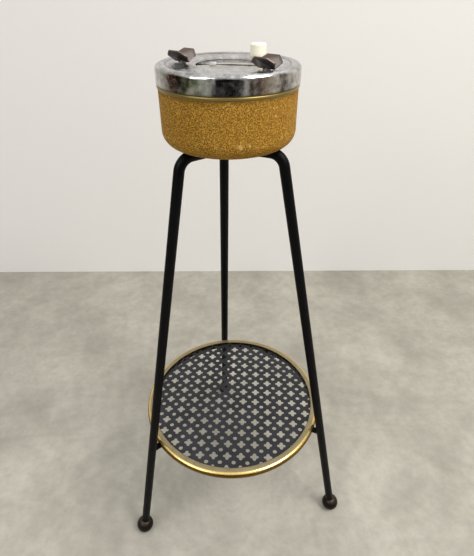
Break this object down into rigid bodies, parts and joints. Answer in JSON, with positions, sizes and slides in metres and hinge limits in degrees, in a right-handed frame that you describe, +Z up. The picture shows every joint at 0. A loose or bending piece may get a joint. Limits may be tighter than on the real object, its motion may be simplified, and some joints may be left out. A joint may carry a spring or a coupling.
{
  "type": "floor-standing ashtray",
  "caption": "Floor-standing ashtray: push-button lidded bowl on a black rod tripod with ball feet and a round perforated shelf edged in brass.",
  "frame": {"origin": "on the floor at the centre of the circle of the three feet, under the middle of the bowl", "axes": "+Z up the stand's axis; +Y toward the back leg; -Y is the open side between the left and right legs"},
  "size_m": [0.289, 0.2801, 0.5946],
  "materials": {
    "black_lacquer": "satin, lightly scratched",
    "aged_brass": "dark, worn",
    "shelf_brass": "matt on top, brown patina below",
    "shelf_black": "satin",
    "gold_lacquer": "hammered, chipped",
    "lid_chrome": "worn and wavy",
    "rest_metal": "dull, bright at the edges",
    "cream_plastic": "glossy, yellowed",
    "plated_steel": "plain zinc plate",
    "spring_steel": "oiled"
  },
  "bodies": {
    "stand": {"leg_left": "black_lacquer", "leg_right": "black_lacquer", "leg_back": "black_lacquer", "foot_left": "aged_brass", "foot_right": "aged_brass", "foot_back": "aged_brass", "leg_hub": "black_lacquer", "shelf_sheet": "shelf_black", "shelf_rim": "shelf_brass", "shelf_lugs": "black_lacquer", "bowl": "gold_lacquer", "bowl_screw": "plated_steel", "bowl_washer": "plated_steel", "hub_washer": "plated_steel", "hub_nut": "plated_steel"},
    "lid": {"lid_shell": "lid_chrome", "rest_left": "rest_metal", "rest_right": "rest_metal", "rest_saddles": "rest_metal", "rest_rivets": "plated_steel", "hinge_bracket_left": "plated_steel", "hinge_bracket_right": "plated_steel", "hinge_pin": "plated_steel", "flap_spring": "spring_steel", "button_bridge": "plated_steel", "return_spring": "spring_steel"},
    "front_flap": {"flap_front": "lid_chrome", "crank_pin_front": "plated_steel"},
    "back_flap": {"flap_back": "lid_chrome", "crank_pin_back": "plated_steel"},
    "push_button": {"button": "cream_plastic", "button_stem": "plated_steel", "presser": "plated_steel", "stem_clip": "spring_steel"}
  },
  "joints": [
    {"name": "lid_lift", "type": "slide", "parent": "stand", "child": "lid", "axis": [0, 0, 1], "range_m": [0, 0.06]},
    {"name": "button_press", "type": "slide", "parent": "lid", "child": "push_button", "axis": [0, 0, -1], "range_m": [0, 0.006], "stiffness_N_per_m": 500, "deforming": ["return_spring"]},
    {"name": "flap_front_swing", "type": "hinge", "parent": "lid", "child": "front_flap", "pos_m": [0, 0, 0.5783], "axis": [0.9563, -0.2924, 0], "range_deg": [0, 50.2]},
    {"name": "flap_back_swing", "type": "hinge", "parent": "lid", "child": "back_flap", "pos_m": [0, 0, 0.5783], "axis": [-0.9563, 0.2924, 0], "range_deg": [0, 50.2]}
  ],
  "couplings": [
    {"joint": "flap_front_swing", "follows": "button_press", "rad_per_m": 145.44},
    {"joint": "flap_back_swing", "follows": "button_press", "rad_per_m": 145.44}
  ]
}
